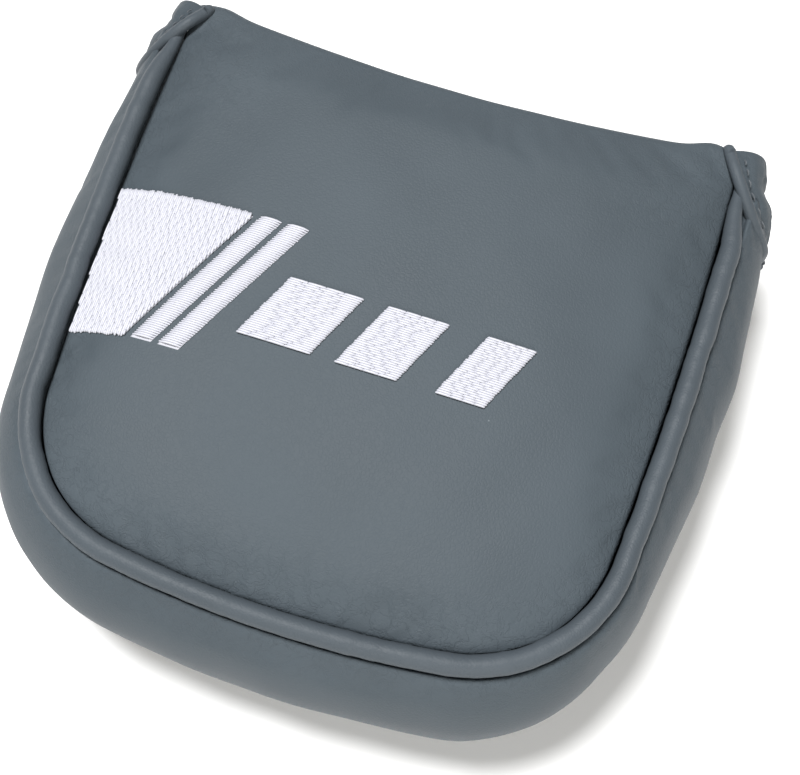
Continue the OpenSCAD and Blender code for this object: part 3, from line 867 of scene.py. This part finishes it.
def lay_stitches(name, lines, radius, sides, material):
    """Threads along lines of points in millimetres; each is thinner where it dives in."""
    points = np.concatenate(lines)
    edges, body, start = [], [], 0
    for line in lines:
        edges += [(start + k, start + k + 1) for k in range(len(line) - 1)]
        body += [0.6] + [1.0] * (len(line) - 2) + [0.6]
        start += len(line)
    mesh = bpy.data.meshes.new(name + "_lines")
    mesh.from_pydata(((points + [0, BOTTOM_Y, 0]) * MM).tolist(), edges, [])
    mesh.attributes.new("body", "FLOAT", "POINT").data.foreach_set("value", body)
    source = put(name + "_lines", mesh)
    nodes = source.modifiers.new("threads", "NODES")
    nodes.node_group = laid_threads
    values = {"Thread radius": radius * MM, "Thread sides": sides, "Thread": material}
    for item in laid_threads.interface.items_tree:
        if item.in_out == "INPUT" and item.name in values:
            nodes[item.identifier] = values[item.name]
    evaluated = source.evaluated_get(bpy.context.evaluated_depsgraph_get())
    threads = bpy.data.meshes.new_from_object(evaluated)
    threads.shade_smooth()
    source.modifiers.clear()
    bpy.data.objects.remove(source)
    return put(name, threads)


# Woven rubber elastic: fine ribs across a matt grey band
ribbed_elastic = ribbed_fibre("woven rubber elastic", "#3F4347", 0.85, 0.3,
                              (300.0, 0.4, "Z"), 0.8, 0.0003)

mouthward, across = np.meshgrid(np.linspace(0, 1, GORE_ROWS), np.linspace(-1, 1, GORE_COLUMNS),
                                indexing="ij")
under_mouthward, under_across = np.meshgrid(
    np.linspace(0, 1, GORE_ROWS + GORE_ROLL), np.linspace(-0.97, 0.97, GORE_COLUMNS), indexing="ij")
band_mouthward, band_across = np.meshgrid(
    np.linspace(0.62, 0.90, 14), np.linspace(-0.42, 0.42, 90), indexing="ij")

# The hem runs from one corner of the mouth down to the tip and up to the other corner
HEM_DEPTH = 0.3                   # how far the hem's middle lies under the gore's outside
hem_steps = np.linspace(0, 1, 90)
curl = mouth_fold(np.array([1.0, -1.0]), 1.5, 8, math.radians(130))
tip = np.linspace(1, -1, 7)[1:-1]
tip_turn = gore_surface(0 * tip, tip, HEM_DEPTH) - np.array([[0, 0.5, 0]]) * (1 - tip ** 2)[:, None]
hem_path = np.concatenate([curl[::-1, 0], gore_surface(hem_steps[::-1], 1.0, HEM_DEPTH), tip_turn,
                           gore_surface(hem_steps, -1.0, HEM_DEPTH), curl[:, 1]])
hem_at = np.linspace(-1, 1, len(hem_path))
hem_radius = HEM_R * (0.72 + 0.28 * ease(np.abs(hem_at) * 2.2)) * (
    1 - 0.5 * ease((np.abs(hem_at) - 0.93) / 0.07))
# A groove beside the hem, and a shallower one where the elastic draws the leather in
hem_groove = 0.75 * np.exp(-((np.abs(across) - 0.92) / 0.045) ** 2)
band_groove = 0.45 * ease((mouthward - 0.45) / 0.2) * np.exp(-((np.abs(across) - 0.60) / 0.05) ** 2)


def placed(points, side):
    """The left gore mirrors the right one, and is drawn in a little more at the mouth."""
    if side == "right":
        return points
    drawn = DRAWN_IN * ease((points[..., 1] - 101) / 14)
    return (points - drawn[..., None] * [0, 1, 0]) * [-1, 1, 1]


for side, seed in (("left", 49), ("right", 51)):
    skin = gore_surface(mouthward, across, hem_groove + band_groove)
    crumple = (0.22 * ripple(mouthward * 16, across * 18, 5, seed)
               + 0.10 * ripple(mouthward * 16, across * 18, 2.2, seed + 9))
    middle = (1 - across ** 2) ** 0.5 * np.sin(math.pi * np.clip(mouthward, 0.02, 0.98)) ** 0.3
    skin[..., 0] += crumple * middle
    skin = np.concatenate([skin, mouth_fold(across[0], GORE_T / 2 - 0.1, GORE_ROLL)])
    thickness = GORE_T * np.clip(0.15 + 3 * under_mouthward, 0, 1)
    inside = gore_surface(under_mouthward, under_across, thickness)
    gore = shell(side + "_gore_cover", placed(skin, side), placed(inside, side), grey_leather,
                 {"worn": 0.75 + 0 * under_mouthward})
    hem = tube(side + "_gore_hem", placed(hem_path, side), hem_radius, 14, piping_leather,
               {"worn": 0.6 + 0 * hem_path[:, 0]})
    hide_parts(side + "_gore")

    band_out = gore_surface(band_mouthward, band_across, GORE_T + BAND_GAP)
    band_out[..., 0] += GATHER_DEPTH * np.sin(band_across * 95)
    band_in = band_out - [BAND_T, 0, 0]
    elastic = shell(side + "_gore_band", placed(band_out, side), placed(band_in, side),
                    ribbed_elastic)
    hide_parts(side + "_gore_elastic")

    lines = []
    for edge in (1, -1):
        for start in np.linspace(0.16, 0.88, TOPSTITCHES):
            at = np.linspace(start, start + TOPSTITCH_SHARE, 4)
            line = gore_surface(at, edge * 0.93, [0.1, -0.1, -0.1, 0.1])
            lines.append(placed(line, side))
    stitching = lay_stitches(side + "_gore_topstitching", lines, TOPSTITCH_R, 6, grey_thread)
    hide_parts(side + "_gore_stitching")
    for piece in (gore, hem, elastic, stitching):
        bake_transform(piece)

# ---------------------------------------------------------------------------
# Embroidery
# White rayon thread on an underlay, stitched through the front panel before it
# is sewn up: one filled block with two stripes beside it, and three slanted bars.
# ---------------------------------------------------------------------------
THREAD_R = 0.24
FILL_PITCH = 0.40                 # rows of fill stitches; wider than the real 0.35 to show
FILL_STITCH = 3.3
SATIN_PITCH = 0.44
UNDERLAY_T = 0.35
BLOCK_LOW, BLOCK_HIGH = 39.0, 70.0
BLOCK_EDGE_LOW, BLOCK_EDGE_HIGH = -33.0, -17.0
STRIPES = [(0.0, 4.0), (5.4, 9.4)]          # from the block's slanted edge, leftwards
BLOCK_GAP = 10.8
BAR_LOW, BAR_HIGH, BAR_SLANT = 47.0, 60.0, 6.0
BAR_COUNT, BAR_START, BAR_PITCH = 3, -23.0, 19.0
BAR_WIDTH, BAR_STEP = 14.0, 2.5             # each bar is narrower than the last by a step

# Rayon: glossy white filament, brightest where the light runs across the stitches
rayon, tree = new_material("white rayon embroidery thread")
place = add(tree, "ShaderNodeTexCoord").outputs["Object"]
strand = add(tree, "ShaderNodeTexNoise", {"Vector": place, "Scale": 1 / 0.0004, "Detail": 3.0})
strand_bump = add(tree, "ShaderNodeBump",
                  {"Height": strand.outputs["Fac"], "Strength": 0.4, "Distance": 0.0001})
strand_tone = add(tree, "ShaderNodeMapRange",
                  {"Value": strand.outputs["Fac"], "To Min": 0.93, "To Max": 1.03})
filament = add(tree, "ShaderNodeVectorMath",
               {0: linear("#C4C5CE")[:3], "Scale": strand_tone.outputs[0]}, operation="SCALE")
silk = add(tree, "ShaderNodeBsdfPrincipled",
           {"Base Color": filament.outputs[0], "Roughness": 0.38, "Sheen Weight": 0.1,
            "Anisotropic": 0.4, "Normal": strand_bump.outputs[0]})
add(tree, "ShaderNodeOutputMaterial", {"Surface": silk.outputs[0]})

# The stitches lie on the finished skin, so its height is read from its own faces
skin_tree = BVHTree.FromPolygons(front_skin.reshape(-1, 3).tolist(),
                                 grid_faces(PANEL_ROWS, PANEL_COLUMNS))


def on_skin(x, y, lift):
    """Points above the front panel's outside."""
    x, y, lift = np.broadcast_arrays(x, y, lift)
    points = []
    for px, py, up in zip(x.ravel(), y.ravel(), lift.ravel()):
        hit = skin_tree.ray_cast(Vector((px, py, 100)), Vector((0, 0, -1)))[0]
        height = hit.z if hit else float(front_height(np.array(px), np.array(py)))
        points.append((px, py, height + up))
    return np.array(points).reshape(*x.shape, 3)


def left_limit(y):
    """x of the panel's sewn edge on the left, at a depth."""
    return -np.interp(y, edge_y[edge_along > 0], edge_x[edge_along > 0]) + 0.5


def underlay(left, right, low, high, columns, rows):
    """A thin padded patch between two slanted edges, each a function of depth."""
    y = np.linspace(low, high, rows)[:, None] + np.zeros(columns)
    s = np.linspace(0, 1, columns) + 0 * y
    x = left(y) * (1 - s) + right(y) * s
    border = np.minimum.reduce([s, 1 - s, (y - low) / (high - low), (high - y) / (high - low)])
    lift = UNDERLAY_T * np.clip(border * 12, 0.2, 1)
    return on_skin(x, y, lift), on_skin(x, y, -0.3)


def join_pieces(name, parts):
    """One object from several."""
    bm = bmesh.new()
    for part in parts:
        bm.from_mesh(part.data)
    mesh = bpy.data.meshes.new(name)
    bm.to_mesh(mesh)
    bm.free()
    mesh.materials.append(rayon)
    mesh.shade_smooth()
    for part in parts:
        bpy.data.objects.remove(part)
    return put(name, mesh)


def block_edge(y, back=0.0):
    """x of the block's slanted right edge, or of a line further left."""
    return np.interp(y, [BLOCK_LOW, BLOCK_HIGH], [BLOCK_EDGE_LOW, BLOCK_EDGE_HIGH]) - back


def bar_edge(y, start):
    """x of a bar's slanted edge that starts at an x at its foot."""
    return start + BAR_SLANT * (y - BAR_LOW) / (BAR_HIGH - BAR_LOW)


def foot(x):
    """The block's foot climbs a little towards the middle of the panel."""
    return BLOCK_LOW + 2.0 * np.clip((x + 59) / 26, 0, 1)


def dipping(start, end, base):
    """Places along one stitch, and its height: it dips only just beside its holes."""
    share = np.array([0.0, 0.07, 0.3, 0.7, 0.93, 1.0])
    return start + (end - start) * share, base + np.array([-0.09, 0.09, 0.13, 0.13, 0.09, -0.09])


rng = np.random.default_rng(7)
block_parts = []
block_lines = []
for number, (near, far) in enumerate([(BLOCK_GAP, None)] + STRIPES):
    right = partial(block_edge, back=near)
    left = left_limit if far is None else partial(block_edge, back=far)
    top, bottom = underlay(left, right, BLOCK_LOW + 1.6, BLOCK_HIGH - 0.4,
                           40 if far is None else 8, 60)
    block_parts.append(shell("underlay_%d" % number, top, bottom, rayon))
    if far is None:
        # Fill: rows along Y, each broken into stitches that step like brickwork
        for row, x in enumerate(np.arange(-56.5, BLOCK_EDGE_HIGH - near, FILL_PITCH)):
            depths = np.linspace(BLOCK_LOW, BLOCK_HIGH, 120)
            inside = (left(depths) < x) & (x < right(depths)) & (depths > foot(x))
            if inside.sum() < 6:
                continue
            low = depths[inside][0] + rng.uniform(-0.25, 0.1)
            high = depths[inside][-1] + rng.uniform(-0.1, 0.25)
            cuts = np.arange(BLOCK_LOW - (0, 2, 1, 3)[row % 4] * FILL_STITCH / 4, high, FILL_STITCH)
            cuts = np.concatenate([[low], cuts[(cuts > low + 0.7) & (cuts < high - 0.7)], [high]])
            for start, end in zip(cuts[:-1], cuts[1:]):
                at, lift = dipping(start, end, UNDERLAY_T)
                block_lines.append(on_skin(x + rng.uniform(-0.04, 0.04), at, lift))
    else:
        # Satin: each stitch crosses the stripe from edge to edge
        for y in np.arange(BLOCK_LOW + 2.2, BLOCK_HIGH, SATIN_PITCH):
            ends = [left(y) - rng.uniform(0, 0.2), right(y) + rng.uniform(0, 0.2)]
            lift = UNDERLAY_T + np.array([-0.2, 0.18, 0.24, 0.18, -0.2])
            block_lines.append(on_skin(np.linspace(ends[0], ends[1], 5), y, lift))
block_parts.append(lay_stitches("block_threads", block_lines, THREAD_R, 5, rayon))
block = join_pieces("embroidered_block_threads", block_parts)

bar_parts, bar_lines = [], []
for i in range(BAR_COUNT):
    start = BAR_START + BAR_PITCH * i
    width = BAR_WIDTH - BAR_STEP * i
    left = partial(bar_edge, start=start)
    right = partial(bar_edge, start=start + width)
    top, bottom = underlay(left, right, BAR_LOW + 0.2, BAR_HIGH - 0.2, 16, 20)
    bar_parts.append(shell("bar_underlay_%d" % i, top, bottom, rayon))
    for y in np.arange(BAR_LOW, BAR_HIGH + 0.1, SATIN_PITCH):
        splits = (np.arange(1, 4) + rng.uniform(-0.4, 0.4)) / 4
        ends = [left(y) - rng.uniform(0, 0.2), *(left(y) + splits * width),
                right(y) + rng.uniform(0, 0.2)]
        for x0, x1 in zip(ends[:-1], ends[1:]):
            at, lift = dipping(x0, x1, UNDERLAY_T)
            bar_lines.append(on_skin(at, y, lift))
bar_parts.append(lay_stitches("bar_threads", bar_lines, THREAD_R, 5, rayon))
bars = join_pieces("embroidered_bar_threads", bar_parts)
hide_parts("embroidered_block")
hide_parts("embroidered_bars")
for emblem in (block, bars):
    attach(emblem, "pouch")
